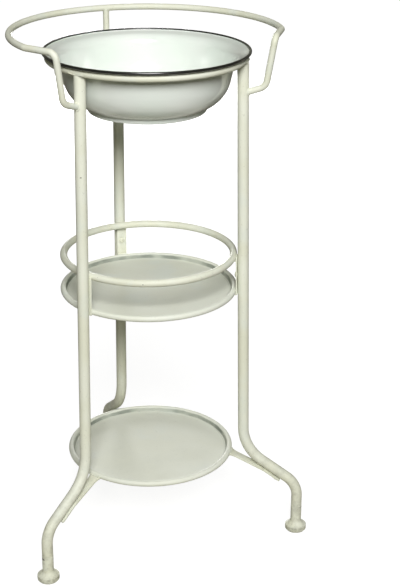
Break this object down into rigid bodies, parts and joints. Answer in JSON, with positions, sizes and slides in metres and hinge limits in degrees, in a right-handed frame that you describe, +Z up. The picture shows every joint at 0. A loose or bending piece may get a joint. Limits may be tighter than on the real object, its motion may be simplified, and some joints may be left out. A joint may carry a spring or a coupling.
{
  "type": "wash basin stand",
  "caption": "Free-standing painted steel wash basin stand: bent tube legs, open towel rail, lift-out enamel basin, gallery shelf and low tray.",
  "frame": {"origin": "at floor level, midway between the back of the rear foot and the front of the basin's rim, on the plane of symmetry; the basin's vertical axis stands 56.95 mm in front of it, at -Y", "axes": "+Z up along the basin's axis; the open front of the towel rail faces -Y; one leg stands at +Y, the other two 60 degrees either side of -Y"},
  "size_m": [0.489, 0.4451, 0.8812],
  "materials": {
    "cream_paint": "satin cream-white paint on steel tube and rod",
    "cast_paint": "satin cream-white paint on cast iron feet",
    "tray_paint": "satin cream-white paint on pressed sheet",
    "bolt_paint": "steel bolts painted with the stand",
    "zinc_steel": "zinc plated threaded inserts",
    "glide": "off-white plastic glides",
    "enamel": "white glass enamel on sheet steel, with a black rolled rim"
  },
  "bodies": {
    "stand": {"leg_front_left": "cream_paint", "leg_front_right": "cream_paint", "leg_rear": "cream_paint", "foot_front_left": "cast_paint", "foot_front_right": "cast_paint", "foot_rear": "cast_paint", "glide_front_left": "glide", "glide_front_right": "glide", "glide_rear": "glide", "basin_ring": "cream_paint", "towel_rail": "cream_paint", "rail_rear_post": "cream_paint", "gallery_ring": "cream_paint", "gallery_strap_front_left": "cream_paint", "gallery_strap_front_right": "cream_paint", "gallery_strap_rear": "cream_paint", "middle_tray": "tray_paint", "low_tray": "tray_paint", "low_strap_front_left": "cream_paint", "low_strap_front_right": "cream_paint", "low_strap_rear": "cream_paint", "gallery_bolts": "bolt_paint", "gallery_inserts": "zinc_steel", "low_strap_bolts": "bolt_paint", "low_strap_washers": "bolt_paint", "low_strap_inserts": "zinc_steel"},
    "basin": {"basin": "enamel"}
  },
  "joints": [
    {"name": "basin_lift", "type": "slide", "parent": "stand", "child": "basin", "axis": [0, 0, 1], "range_m": [0, 0.2]}
  ]
}
